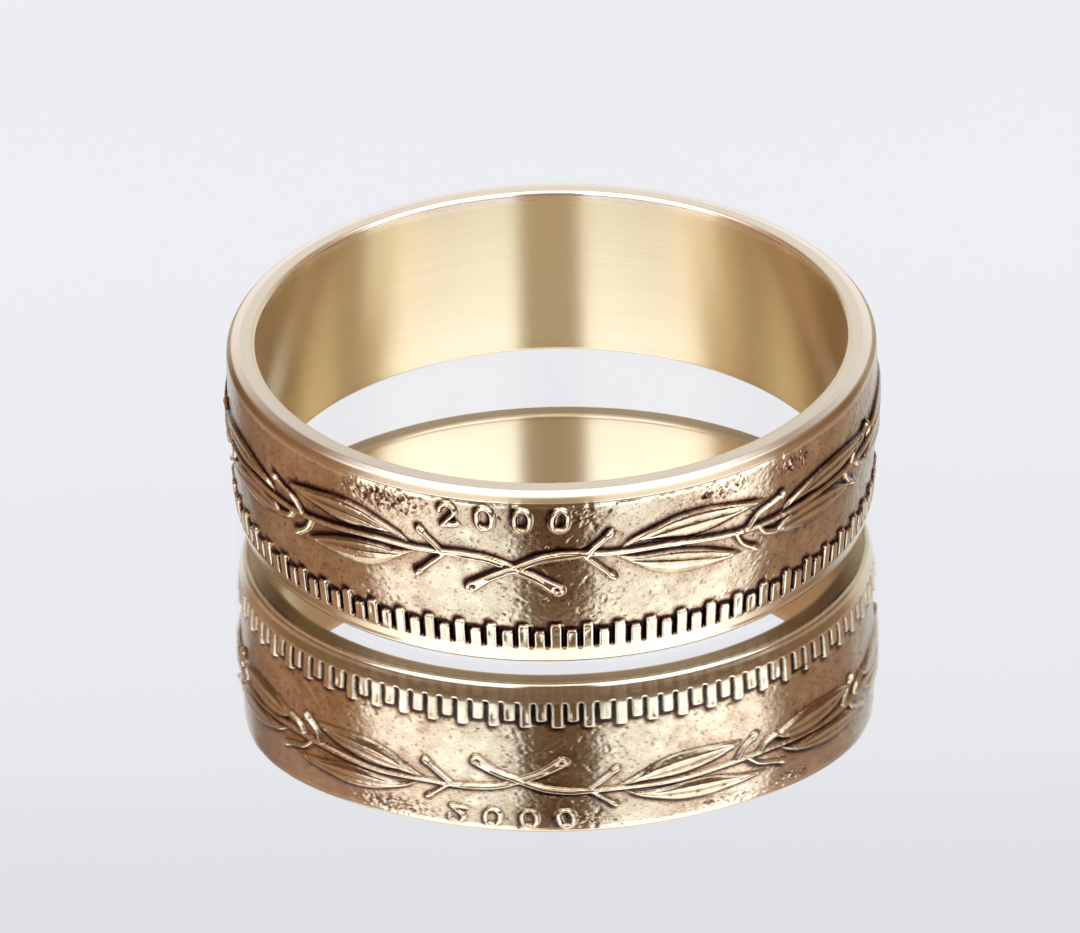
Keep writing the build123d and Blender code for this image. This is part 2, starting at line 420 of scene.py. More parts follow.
    def curve(self, face: StruckFace, side: Side, points: Points, base: float) -> Array:
        """Place a table's line on the unrolled face and smooth it.

        Args:
            face: The face it lies on.
            side: Which branch it belongs to.
            points: Azimuths from base and heights from the crossing.
            base: Azimuth from the crossing that the table starts at.

        Returns:
            Points along the line, in mm on the unrolled face.
        """
        table = np.asarray(points, float)
        away = table[:, 0] + base
        droop = self.left_droop * ease(away, *self.droop_fade) if side is Side.LEFT else 0.0
        along = face.lengths(self.azimuth + side.value * away)
        return smooth_curve(np.column_stack([along, self.height + table[:, 1] - droop]))

    def strike_line(self, face: StruckFace, curve: Array, half: float) -> None:
        """Raise a stalk or twig: round on top, as the root of one minus the gap's square.

        Args:
            face: The face to strike.
            curve: Points along its middle.
            half: Half its width in mm, to the middle of its slope.
        """
        def shape(along: Array, up: Array) -> Array:
            """Height at each place, from its two coordinates in mm."""
            gap, _ = nearest(along, up, curve)
            reach = half + self.slope / 2
            return self.relief * np.sqrt(np.clip(1 - (gap / reach) ** 2, 0, 1))
        face.raise_shape(shape, curve)

    def strike_stem(self, face: StruckFace, side: Side) -> None:
        """Raise a branch's first stem, with its flared and hollowed cut end.

        The half width grows towards the cut end, where an oval pit is taken out of the top. The
        right stem first lowers what it crosses, so that it reads as lying over the left one.

        Args:
            face: The face to strike.
            side: Which branch.
        """
        curve = self.curve(face, side, self.stem, 0.0)
        inward = curve[self.end_points] - curve[0]
        inward = inward / np.linalg.norm(inward)
        pit = curve[0] + self.pit_in * inward

        def shape(along: Array, up: Array) -> Array:
            """Height at each place, from its two coordinates in mm."""
            gap, share = nearest(along, up, curve)
            thin = ease(share, *self.thinning)
            half = self.stem_half + self.flare * ease(share, *self.flare_fade)
            half = half + (self.twig_half - half) * thin
            top = ease(half - gap, -self.slope / 2, self.slope / 2)
            groove = self.groove * np.exp(-(gap / self.groove_half) ** 2) * (1 - thin)
            groove = groove * ease(share, *self.groove_fade)
            dx, dy = along - pit[0], up - pit[1]
            length = dx * inward[0] + dy * inward[1]
            width = dy * inward[0] - dx * inward[1]
            hollow = self.pit_depth * np.exp(-(length / self.pit_half[0]) ** 2
                                             - (width / self.pit_half[1]) ** 2)
            return self.relief * top * (1 - groove) * (1 - hollow)

        if side is Side.RIGHT:
            near, _ = nearest(*np.meshgrid(face.lengths(face.azimuths), face.heights),
                              curve[:self.crossing_points])
            face.relief *= ease(near - self.stem_half, *self.moat)
        face.raise_shape(shape, curve)

    def strike_berry(self, face: StruckFace, side: Side, stalk: Points, base: float) -> None:
        """Raise a stalk with a berry on its end: a dome, drawn out along the stalk.

        Args:
            face: The face to strike.
            side: Which branch it belongs to.
            stalk: The stalk's table.
            base: Azimuth from the crossing that the table starts at.
        """
        curve = self.curve(face, side, stalk, base)
        self.strike_line(face, curve, self.stalk_half)
        tip, reach = curve[-self.end_points:], self.berry_r + self.berry_slope

        def shape(along: Array, up: Array) -> Array:
            """Height at each place, from its two coordinates in mm."""
            gap, _ = nearest(along, up, tip)
            dome = np.sqrt(np.clip(1 - (gap / reach) ** 2, 0, 1))
            return self.relief * self.berry_proud * dome * ease(gap, reach, self.berry_top)
        face.raise_shape(shape, tip)

    def strike_leaves(self, face: StruckFace, side: Side, leaves: Sequence[Leaf],
                      base: float) -> None:
        """Raise leaves, each a low swell with two lobes and a fine midrib between them.

        The swell is the sine of the share of the way across. Up a lobe the height is the sine of
        a power of that share, so it is fullest near its upper edge. The midrib is a bell.

        Args:
            face: The face to strike.
            side: Which branch they belong to.
            leaves: Each leaf's upper edge, lower edge and midrib.
            base: Azimuth from the crossing that these tables start at.
        """
        for leaf in leaves:
            upper, lower, middle = (self.curve(face, side, line, base) for line in leaf)
            outline = np.vstack([upper, lower[-2:0:-1]])
            upper_lobe = np.vstack([upper, middle[::-1]])

            def shape(along: Array, up: Array) -> Array:
                """Height at each place, from its two coordinates in mm."""
                above, _ = nearest(along, up, upper)
                below, _ = nearest(along, up, lower)
                rib_gap, share = nearest(along, up, middle)
                gap = np.minimum(above, below)
                inward = np.where(within(along, up, outline), gap, -gap)
                edge = ease(inward, -self.slope / 3, self.slope / 2)
                risen = np.where(within(along, up, upper_lobe),
                                 rib_gap / (rib_gap + above + TINY),
                                 below / (rib_gap + below + TINY))
                swell = self.leaf_swell * np.sin(pi * below / (below + above + TINY))
                lobe = self.leaf_lobe * np.sin(pi * risen ** self.fullness)
                ridge = (self.midrib * np.exp(-(rib_gap / self.crease) ** 2)
                         * (1 - share ** self.crease_fall))
                return self.relief * edge * (self.leaf_edge + swell + lobe + ridge)
            face.raise_shape(shape, outline)


@dataclass(frozen=True)
class Number:
    """A plain raised number over the crossing, its outer figures leaning outwards."""

    figures: str = "2000"
    azimuth: float = -9.0
    height: float = 5.27
    pitch: float = 6.4
    lean: float = 9.0
    figure_h: float = 0.86
    figure_w: float = 0.62
    stroke_half: float = 0.075
    relief: float = 0.12
    squared: float = 0.85         # below 1 the ring of a nought is squarer than an ellipse
    crown: Pair = (175, -35)      # angles of the arc on top of a 2
    tail: float = 0.03            # how far its foot goes beyond that arc
    slope: Pair = (-0.03, 0.035)  # fade across a stroke's edge
    rounding: float = 0.2         # share of the height that a stroke loses towards its edge

    def outline(self, figure: str) -> Array:
        """Draw the line that a figure's stroke follows.

        Args:
            figure: A 0 or a 2.

        Returns:
            Points about the figure's own centre, in mm.
        """
        side = self.figure_w / 2 - self.stroke_half
        top = self.figure_h / 2 - self.stroke_half
        if figure == "0":
            turn = np.linspace(0, 2 * pi, 49)
            ways = np.column_stack([np.cos(turn), np.sin(turn)])
            return np.sign(ways) * np.abs(ways) ** self.squared * (side, top)
        crown = np.radians(np.linspace(*self.crown, 17))
        arc = np.column_stack([side * np.cos(crown), top - side + side * np.sin(crown)])
        return np.vstack([arc, [(-side, -top), (side + self.tail, -top)]])

    def strike(self, face: StruckFace) -> None:
        """Raise the figures, their strokes a little rounded on top.

        Args:
            face: The face to strike.
        """
        last = (len(self.figures) - 1) / 2
        for index, figure in enumerate(self.figures):
            place = index - last
            lean = -radians(self.lean) * place / last
            turn = np.array([[cos(lean), sin(lean)], [-sin(lean), cos(lean)]])
            middle = (face.lengths(self.azimuth + self.pitch * place), self.height)
            line = self.outline(figure) @ turn + middle

            def shape(along: Array, up: Array) -> Array:
                """Height at each place, from its two coordinates in mm."""
                gap, _ = nearest(along, up, line)
                top = ease(self.stroke_half - gap, *self.slope)
                return self.relief * top * (1 - self.rounding * (gap / self.stroke_half) ** 2)
            face.raise_shape(shape, line)


@dataclass(frozen=True)
class Weathering:
    """What casting, striking and wear left on the field: lumps, pits and rough patches."""

    start: Pair = (0.7, 1.5)      # fade up from the rim
    lumps: float = 0.0022         # height of the lumps in mm
    lump_size: float = 0.30
    grit: float = 0.5             # the finer lumps' share of that height
    grit_size: float = 0.045
    even: float = 0.28            # roughness outside the patches
    patch_level: float = 0.35     # roughness from which a place counts as a patch
    sparkle: float = 0.010        # height of its lumps
    soot: float = 0.60            # how dark its specks are,
    soot_size: float = 0.030
    soot_level: float = 0.1       # from which level of the noise they start
    soot_most: float = 1.6        # and how far over it they darken
    pit_depth: float = 0.016
    pit_share: float = 0.35       # of that depth, on a smooth place
    pits: tuple[tuple[float, int, float, float, float], ...] = (
        # size, seed, level of the noise, how much roughness lowers it, how far over it they sink
        (0.035, 3, 2.3, 1.5, 1.3),
        (0.070, 4, 1.9, 1.4, 1.2))
    patches: tuple[tuple[float, float, float, float, float], ...] = (
        # azimuth, height, half extent round the face, half extent up it, strength
        (-30.0, 5.35, 9.5, 0.60, 1.1),
        (29.0, 5.45, 8.0, 0.45, 0.9),
        (45.0, 5.40, 6.0, 0.50, 1.0),
        (4.5, 5.35, 4.5, 0.55, 0.8),
        (120.0, 5.30, 14.0, 0.60, 0.8),
        (-110.0, 5.40, 16.0, 0.55, 0.8),
        (178.0, 2.30, 12.0, 0.80, 0.5))

    def roughness(self, face: StruckFace) -> Array:
        """Say how rough each place is: bells over the patches, on a low even level.

        Args:
            face: The face.

        Returns:
            The roughness on its grid.
        """
        total = np.full(face.relief.shape, self.even)
        for azimuth, height, wide, tall, strength in self.patches:
            turn = (face.azimuths - azimuth + 180) % 360 - 180
            rise = face.heights[:, None] - height
            total = np.maximum(total, strength * np.exp(-(turn / wide) ** 2 - (rise / tall) ** 2))
        return total

    def wear(self, face: StruckFace) -> None:
        """Add lumps everywhere, and pits where the noise passes a level set by the roughness.

        Args:
            face: The face to weather.
        """
        rough = self.roughness(face)
        away = ease(face.heights, *self.start)[:, None]
        patch = np.clip(rough - self.patch_level, 0, 1) * away
        lumps = face.grain(self.lump_size, seed=1)
        lumps += self.grit * face.grain(self.grit_size, seed=2)
        face.relief += self.lumps * lumps * away
        face.relief += self.sparkle * patch * face.grain(self.grit_size, seed=5)
        specks = face.grain(self.soot_size, seed=6) - self.soot_level
        face.stain_and_shade += self.soot * patch * np.clip(specks, 0, self.soot_most)
        depth = self.pit_depth * away * (self.pit_share + (1 - self.pit_share) * rough)
        for size, seed, level, crowd, most in self.pits:
            face.relief -= depth * np.clip(face.grain(size, seed) - level + crowd * rough, 0, most)


@dataclass(frozen=True)
class PatinaAndShadow:
    """The brown film that hollows keep, from 0, rubbed bright, to 1, black, and painted shadow
    above and left of the relief.

    A hollow is where the blurred relief lies over the relief, and a ridge where it lies under it.
    """

    even: float = 0.245
    lowest: float = -0.02         # relief under which the film stays the same
    full: float = 0.13            # relief that counts as wholly raised
    raised_fade: Pair = (0.5, 0.8)   # and where that starts, over the rim
    rubbed: float = 0.03          # how much brighter a raised place is
    calm: float = 0.3             # and how much less mottled
    mottling: tuple[tuple[float, int, float], ...] = (
        # size in mm, seed, strength
        (0.45, 11, 0.025),
        (0.12, 12, 0.03))
    specks: float = 0.18          # strength of the dark specks on the field,
    speck_size: float = 0.030
    speck_level: float = 1.0      # level of the noise where they start
    speck_most: float = 1.5
    hollows: tuple[Pair, ...] = ((0.07, 2.6), (0.16, 1.4))   # blur in mm, strength
    ridge: float = -0.03          # difference beyond which a ridge is no brighter
    creases: Pair = (0.04, 2.5)   # the same for creases in what is raised
    shadow_and_film: Pair = (0.06, 7.0)       # the same for painted shadow, partly film, above and left of the relief,
    lee_shift: Pair = (0.11, 0.08)   # how far down and right the relief is looked for
    shadow_most: float = 0.10
    closed_in: Pair = (0.35, 1.7)    # the same for field between the leaves
    closed_fade: Pair = (1.7, 2.1)
    polish: float = 0.7           # share of the film that is lost at the top
    polish_fade: Pair = (5.62, 5.72)
    rim: float = 0.02             # film on the rim
    rim_fade: Pair = (0.66, 0.58)

    def settle(self, face: StruckFace) -> Array:
        """Tell how dark each place of the face is.

        Args:
            face: The struck and weathered face.

        Returns:
            The tarnish on its grid.
        """
        relief = np.maximum(face.relief, self.lowest)
        heights = face.heights[:, None]

        def over(blur: float) -> Array:
            """How far the relief, blurred by that many mm, lies over the relief."""
            return face.blur(relief, blur) - relief

        raised = np.clip(relief / self.full, 0, 1) * ease(heights, *self.raised_fade)
        level = self.even - self.rubbed * raised + face.stain_and_shade
        for size, seed, strength in self.mottling:
            level += strength * face.grain(size, seed) * (1 - self.calm * raised)
        specks = face.grain(self.speck_size, seed=13) - self.speck_level
        level += self.specks * np.clip(specks, 0, self.speck_most) * (1 - raised)
        for blur, strength in self.hollows:
            level += strength * np.clip(over(blur), self.ridge, 1)
        level += self.creases[1] * np.clip(over(self.creases[0]), 0, 1) * raised
        # Painted shadow, partly film: the blurred relief, moved up and to the left, darkens the
        # field above and left of each raised thing.
        shift = round(self.lee_shift[0] / face.rise), -round(self.lee_shift[1] / face.step)
        shadow_and_film = np.roll(face.blur(relief, self.shadow_and_film[0]), shift, (0, 1)) - relief
        level += self.shadow_and_film[1] * np.clip(shadow_and_film, 0, self.shadow_most)
        closed_in = face.blur(relief, self.closed_in[0]) * ease(heights, *self.closed_fade)
        level += self.closed_in[1] * closed_in * (1 - raised)
        rim = ease(heights, *self.rim_fade)
        level *= (1 - self.polish * ease(heights, *self.polish_fade)) * (1 - rim)
        return np.clip(level + self.rim * rim, 0, 1)


@dataclass
class Band:
    """The ring's closed cross-section, and the meshes carried round the finger hole from it."""

    bore_r: float = 9.5
    width: float = 6.1
    foot_wall: float = 0.78
    belly_wall: float = 0.98
    top_wall: float = 0.95
    belly_share: float = 0.62
    flat_wall: float = 0.52       # wall at the polished flat's outer edge
    shoulder_wall: float = 0.81   # where the shoulder's two facets meet
    shoulder_height: float = 6.005
    shoulder_round: Pair = (0.004, 0.005)   # how far in and down that corner is rubbed
    field_top: float = 5.84
    field_round: float = 0.01     # how far in the field's upper edge is rubbed
    mouth_round: float = 0.14
    dome: float = 0.016           # how much lower the flat's outer edge is than its inner one
    rim: ToothedRim = field(default_factory=ToothedRim)
    patina_and_shadow: PatinaAndShadow = field(default_factory=PatinaAndShadow)
    struck_rows: int = 153        # of the cross-section's rows, those that were struck
    foot_rows: int = 8            # and those of the rim's foot, at their other end
    fading_rows: int = 8          # rows over the face in which its relief dies away,
    fading: float = 2.5           # to about a third in each so many of them

    def field_radius(self, heights: Array) -> Array:
        """Work out the field's arc, the circle through its foot, belly and top.

        Args:
            heights: Heights in mm.

        Returns:
            The arc's distance from the axis at each.
        """
        foot, top = self.rim.height / 2, self.field_top
        belly = foot + (top - foot) * self.belly_share
        z = np.array([foot, belly, top])
        r = self.bore_r + np.array([self.foot_wall, self.belly_wall, self.top_wall])
        rows = np.column_stack([2 * r, 2 * z, np.ones(3)])
        cr, cz, rest = np.linalg.solve(rows, r ** 2 + z ** 2)
        size = np.sqrt(rest + cr ** 2 + cz ** 2)
        return cr + np.sqrt(size ** 2 - (heights - cz) ** 2)

    def profile(self, face: StruckFace) -> tuple[Array, Array]:
        """Draw the cross-section, from the face's lowest row up, over the top and back below.

        Corners are quarter arcs, and the face's own rows come first.

        Args:
            face: The face whose rows it takes.

        Returns:
            Radius and height of each point, and how dark that place is from 0 to 1: tarnished
            metal, with painted shade on the shoulder's lower facet.
        """
        def arc(centre: Pair, start: float, end: float) -> Array:
            """Round a mouth between two angles."""
            turn = np.radians(np.linspace(start, end, 9))
            return np.array(centre) + mouth * np.column_stack([np.cos(turn), np.sin(turn)])

        def line(start: Pair, end: Pair, count: int) -> Array:
            """Lay that many points between two, without them."""
            return np.linspace(start, end, count + 2)[1:-1]

        bore, wide, mouth, rim = self.bore_r, self.width, self.mouth_round, self.rim
        foot = rim.foot_up * (1 + np.sin(np.linspace(-pi / 2, 0, self.foot_rows)))
        under = np.column_stack([bore + self.foot_wall + rim.proud - rim.lean_in(foot), foot])
        front = np.column_stack([self.field_radius(face.heights), face.heights])
        facet = np.array([bore + self.shoulder_wall, self.shoulder_height])
        lip = (bore + self.flat_wall, wide - self.dome)
        edge = (self.field_radius(self.field_top) - self.field_round, self.field_top)
        stretches = [
            # points and how dark they are, from tarnished metal and painted shade
            (front, 0.0),
            (line(front[-1], edge, 3), 0.15), ([edge], 0.12),
            # painted shade, with some tarnished metal: the shoulder's lower facet is kept darker
            # than its upper one
            (line(edge, facet, 5), 0.54), ([facet - self.shoulder_round], 0.42),
            (line(facet, lip, 6), 0.0), ([lip], 0.0),
            (line(lip, (bore + mouth, wide), 6), 0.05),
            (arc((bore + mouth, wide - mouth), 90, 180), 0.15),
            (line((bore, wide - mouth), (bore, mouth), 19), 0.3),
            (arc((bore + mouth, mouth), 180, 270), 0.34),
            (line((bore + mouth, 0), under[0], 6), 0.50),
            (under, 0.02)]
        points = np.vstack([part for part, _ in stretches])
        return points, np.concatenate([np.full(len(part), level) for part, level in stretches])

    def carry_round(self, face: StruckFace) -> tuple[Array, Array, Array, Array]:
        """Carry the cross-section round the hole, with the relief moved out along its normal.

        Args:
            face: The struck and weathered face.

        Returns:
            Points, normals, how dark each place is, from tarnished metal and painted shade, and
            arc lengths on a grid of cross-section by azimuth.
        """
        points, stain_and_shade = self.profile(face)
        rows = face.rows
        slope = np.roll(points, -1, 0) - np.roll(points, 1, 0)
        slope[0], slope[rows - 1] = points[1] - points[0], points[rows - 1] - points[rows - 2]
        out = np.column_stack([slope[:, 1], -slope[:, 0]])
        out /= np.linalg.norm(out, axis=1)[:, None]
        relief = np.zeros((len(points), face.columns))
        relief[:rows] = face.relief
        taper = np.exp(-np.arange(1, self.fading_rows + 1) / self.fading)[:, None]
        relief[rows:rows + self.fading_rows] = face.relief[-1] * taper
        radius = points[:, :1] + relief * out[:, :1]
        height = points[:, 1:] + relief * out[:, 1:]
        turn = np.radians(face.azimuths)
        grid = np.stack([radius * np.sin(turn), -radius * np.cos(turn), height], -1)
        round_step = np.roll(grid, -1, 1) - np.roll(grid, 1, 1)
        up_step = np.roll(grid, -1, 0) - np.roll(grid, 1, 0)
        normals = np.cross(round_step, up_step)
        normals /= np.linalg.norm(normals, axis=-1, keepdims=True)
        tarnish_and_shade = np.repeat(stain_and_shade[:, None], face.columns, 1)
        tarnish_and_shade[:rows] = self.patina_and_shadow.settle(face)
        steps = np.linalg.norm(np.diff(np.vstack([points, points[:1]]), axis=0), axis=1)
        return grid, normals, tarnish_and_shade, np.concatenate([[0.0], np.cumsum(steps)])

    def sector_mesh(self, name: str, grid: Array, normals: Array, tarnish_and_shade: Array,
                    lengths: Array, columns: Array, azimuth_step: float) -> bpy.types.Object:
        """Make the mesh of one sector, a closed bar with a flat cap at each cut.

        Args:
            name: The piece's name.
            grid: All points, cross-section by azimuth, in mm.
            normals: Their normals.
            tarnish_and_shade: How dark they are, from tarnished metal and painted shade.
            lengths: Length along the cross-section to each row, in mm.
            columns: Which columns the sector takes, both cuts included.
            azimuth_step: Length round the face between two columns, in mm.

        Returns:
            The new object, in metres.
        """
        rows, count = grid.shape[0], len(columns)
        points = grid[:, columns].reshape(-1, 3) * MM
        row, column = np.meshgrid(np.arange(rows), np.arange(count - 1), indexing="ij")
        above = (row + 1) % rows
        quads = np.stack([row * count + column, row * count + column + 1,
                          above * count + column + 1, above * count + column], -1).reshape(-1, 4)
        around = np.stack([column, column + 1, column + 1, column], -1).reshape(-1, 4)
        along = np.stack([row, row, row + 1, row + 1], -1).reshape(-1, 4)
        caps = [np.arange(rows) * count, np.arange(rows)[::-1] * count + count - 1]
        corners = np.concatenate([quads.ravel(), *caps])
        starts = np.concatenate([np.arange(len(quads)) * 4, len(quads) * 4 + np.array([0, rows])])
        mesh = bpy.data.meshes.new(name)
        mesh.vertices.add(len(points))
        mesh.vertices.foreach_set("co", points.astype(np.float32).ravel())
        mesh.loops.add(len(corners))
        mesh.loops.foreach_set("vertex_index", corners.astype(np.int32))
        mesh.polygons.add(len(starts))
        mesh.polygons.foreach_set("loop_start", starts.astype(np.int32))
        smooth = np.ones(len(starts), bool)
        smooth[-2:] = False
        mesh.update(calc_edges=True)
        mesh.polygons.foreach_set("use_smooth", smooth)
        turned = np.zeros(len(starts), np.int32)   # 1 where the second finish goes
        smooth_metal = (row >= self.struck_rows) & (row < rows - self.foot_rows - 1)
        turned[:len(quads)] = smooth_metal.ravel()
        mesh.polygons.foreach_set("material_index", turned)
        mesh.attributes.new("tarnish_and_shade", "FLOAT", "POINT").data.foreach_set(
            "value", tarnish_and_shade[:, columns].astype(np.float32).ravel())
        flat = np.zeros((len(corners), 2), np.float32)
        flat[:len(quads) * 4, 0] = ((columns[0] + around) * azimuth_step).ravel()
        flat[:len(quads) * 4, 1] = lengths[along].ravel()
        mesh.uv_layers.new(name="unrolled").data.foreach_set("uv", flat.ravel())
        mesh.validate()
        mesh.normals_split_custom_set_from_vertices(normals[:, columns].reshape(-1, 3))
        piece = bpy.data.objects.new(name, mesh)
        bpy.context.scene.collection.objects.link(piece)
        return piece


def node(tree: bpy.types.NodeTree, kind: str, inputs: dict | None = None,
         stops: Sequence[tuple[float, Sequence[float]]] = (),
         **settings: object) -> bpy.types.Node:
    """Add a node to a tree.

    Args:
        tree: The node tree.
        kind: The node's type, without its ShaderNode prefix.
        inputs: Values for its inputs by name or number, or what to link to them: a socket, or a
            node for that node's first output.
        stops: Places and linear colours, where the node is a colour ramp.
        settings: Values for its own properties.

    Returns:
        The node.
    """
    made = tree.nodes.new("ShaderNode" + kind)
    for name, value in settings.items():
        setattr(made, name, value)
    for key, value in (inputs or {}).items():
        if isinstance(value, bpy.types.Node):
            value = value.outputs[0]
        if isinstance(value, bpy.types.NodeSocket):
            tree.links.new(value, made.inputs[key])
        else:
            made.inputs[key].default_value = value
    for index, (place, colour) in enumerate(stops):
        elements = made.color_ramp.elements
        element = elements[index] if index < len(elements) else elements.new(place)
        element.position, element.color = place, colour
    return made


def empty_material(name: str) -> bpy.types.Material:
    """Start a material without nodes.

    Args:
        name: Its name.

    Returns:
        The material.
    """
    material = bpy.data.materials.new(name)
    material.use_nodes = True
    material.node_tree.nodes.clear()
    return material


@dataclass(frozen=True)
class StruckBronze:
    """Aluminium bronze, struck, blackened and rubbed back by hand.

    The rubbed places shine pale gold, hollows keep a brown film, and the field between is rosy
    with a fine satin grain that scatters the light in sparks. Painted shadow darkens the field
    above and left of the relief, and painted shade the slots between the teeth.
    """

    film: tuple[tuple[float, str], ...] = (
        (0.0, "D6C7A4"),    # bright
        (0.19, "B19D77"),   # rubbed
        (0.39, "907453"),   # rosy
        (0.65, "593B2C"),   # brown
        (0.93, "1C120F"))   # black
    polish: float = 0.14        # roughness of bright metal
    satin: float = 0.17         # and of the struck field
    satin_fade: Pair = (0.06, 0.36)
    grit_mm: float = 0.05       # struck grain
    grit_depth_mm: float = 0.0032
    grit_fade: Pair = (0.12, 0.34)   # tarnish over which it shows
    scatter: float = 0.55       # how much the film follows it

    def build(self) -> bpy.types.Material:
        """Make the material: darkness from tarnished metal and painted shade sets colour and
        roughness, and noise the grain.

        Returns:
            The material.
        """
        material = empty_material("bronze_struck_and_rubbed")
        tree = material.node_tree
        stain_and_shade = node(tree, "Attribute", attribute_name="tarnish_and_shade").outputs["Fac"]
        place = node(tree, "TexCoord").outputs["Object"]
        grit = node(tree, "TexNoise", {"Vector": place, "Scale": 1 / (self.grit_mm * MM),
                                       "Detail": 3.0, "Roughness": 0.6})
        worn = node(tree, "MapRange", {"Value": stain_and_shade, "From Min": self.grit_fade[0],
                                       "From Max": self.grit_fade[1]})
        speckle = node(tree, "Math", {0: grit, 1: 0.5}, operation="SUBTRACT")
        amount = node(tree, "Math", {0: speckle, 1: worn}, operation="MULTIPLY")
        level = node(tree, "Math", {0: amount, 1: self.scatter, 2: stain_and_shade},
                     operation="MULTIPLY_ADD")
        colour = node(tree, "ValToRGB", {"Fac": level},
                      stops=[(stop, linear(shade)) for stop, shade in self.film])
        rough = node(tree, "MapRange", {
            "Value": level, "From Min": self.satin_fade[0], "From Max": self.satin_fade[1],
            "To Min": self.polish, "To Max": self.satin})
        grain = node(tree, "Bump", {"Height": grit, "Strength": worn,
                                    "Distance": self.grit_depth_mm * MM})
        shader = node(tree, "BsdfPrincipled", {"Base Color": colour, "Metallic": 1.0,
                                               "Roughness": rough, "Normal": grain})
        node(tree, "OutputMaterial", {"Surface": shader})
        return material


@dataclass(frozen=True)
class TurnedBronze:
    """Aluminium bronze, cut and polished on a turning mandrel.

    The marks run round the ring, so reflections are drawn out across them, along the finger.
    """

    film: tuple[tuple[float, str], ...] = (
        (0.0, "EFE2CF"),    # cream
        (0.30, "D4BE90"),   # golden
        (0.70, "7A5844"),   # brown
        (1.0, "3A2A22"))    # black
    polish: float = 0.14          # roughness of the flat and shoulder
    brushed: float = 0.30         # and of the finger hole
    brushed_tarnish: float = 0.3
    streak: float = 0.96          # how much wider a reflection is across the marks
    mark_mm: float = 0.05         # turning marks, drawn as coarse as they need to show
    mark_depth_mm: float = 0.003
    mark_length: float = 0.15     # marks in each mm round the ring
    scatter: float = 0.12         # how much the film follows them

    def build(self) -> bpy.types.Material:
        """Make the material: an anisotropic metal with marks stretched round the ring.

        Returns:
            The material.
        """
        material = empty_material("bronze_turned_and_polished")
        tree = material.node_tree
        stain_and_shade = node(tree, "Attribute", attribute_name="tarnish_and_shade").outputs["Fac"]
        flat = node(tree, "UVMap", uv_map="unrolled")
        stretched = node(tree, "VectorMath",
                         {0: flat, 1: (self.mark_length, 1 / self.mark_mm, 0.0)},
                         operation="MULTIPLY")
        marks = node(tree, "TexNoise", {"Vector": stretched, "Scale": 1.0, "Detail": 3.0,
                                        "Roughness": 0.6})
        speckle = node(tree, "Math", {0: marks, 1: 0.5}, operation="SUBTRACT")
        level = node(tree, "Math", {0: speckle, 1: self.scatter, 2: stain_and_shade},
                     operation="MULTIPLY_ADD")
        colour = node(tree, "ValToRGB", {"Fac": level},
                      stops=[(stop, linear(shade)) for stop, shade in self.film])
        fine = node(tree, "Bump", {"Height": marks, "Strength": 0.12,
                                   "Distance": self.mark_depth_mm * MM})
        rough = node(tree, "MapRange", {
            "Value": stain_and_shade, "From Min": 0.0, "From Max": self.brushed_tarnish,
            "To Min": self.polish, "To Max": self.brushed})
        tangent = node(tree, "Tangent", direction_type="UV_MAP", uv_map="unrolled")
        shader = node(tree, "BsdfPrincipled", {
            "Base Color": colour, "Metallic": 1.0, "Roughness": rough,
            "Anisotropic": self.streak, "Anisotropic Rotation": 0.25, "Normal": fine,
            "Tangent": tangent})
        node(tree, "OutputMaterial", {"Surface": shader})
        return material


@dataclass
class CoinRing:
    """The whole ring: its cross-section, its relief and its finish."""

    band: Band = field(default_factory=Band)
    face: StruckFace = field(default_factory=StruckFace)
    rim: ToothedRim = field(default_factory=ToothedRim)
    wreath: Wreath = field(default_factory=Wreath)
    number: Number = field(default_factory=Number)
    weathering: Weathering = field(default_factory=Weathering)
    struck: StruckBronze = field(default_factory=StruckBronze)
    turned: TurnedBronze = field(default_factory=TurnedBronze)
    softness: float = 0.018       # how softly the metal filled the die, in mm
    first_cut: int = -142         # azimuth of the first cut between two sectors
    names: tuple[str, ...] = ("ring_left", "ring_front", "ring_right", "ring_back")

    def build(self) -> list[bpy.types.Object]:
        """Strike the face, carry the band round and dress its sectors.

        Returns:
            The sectors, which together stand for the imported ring.
        """
        self.wreath.strike(self.face)
        self.number.strike(self.face)
        self.face.relief = self.face.blur(self.face.relief, self.softness)
        self.rim.strike(self.face)
        self.weathering.wear(self.face)
        grid, normals, tarnish_and_shade, lengths = self.band.carry_round(self.face)
        finishes = [self.struck.build(), self.turned.build()]
        share = self.face.columns // len(self.names)
        pieces = []
        for index, name in enumerate(self.names):
            first = self.face.columns * (180 + self.first_cut) // 360 + index * share
            columns = (first + np.arange(share + 1)) % self.face.columns
            piece = self.band.sector_mesh(name, grid, normals, tarnish_and_shade, lengths, columns,
                                          self.face.step)
            for finish in finishes:
                piece.data.materials.append(finish)
            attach(piece, "root")
            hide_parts("coin_ring")
            pieces.append(piece)
        return pieces


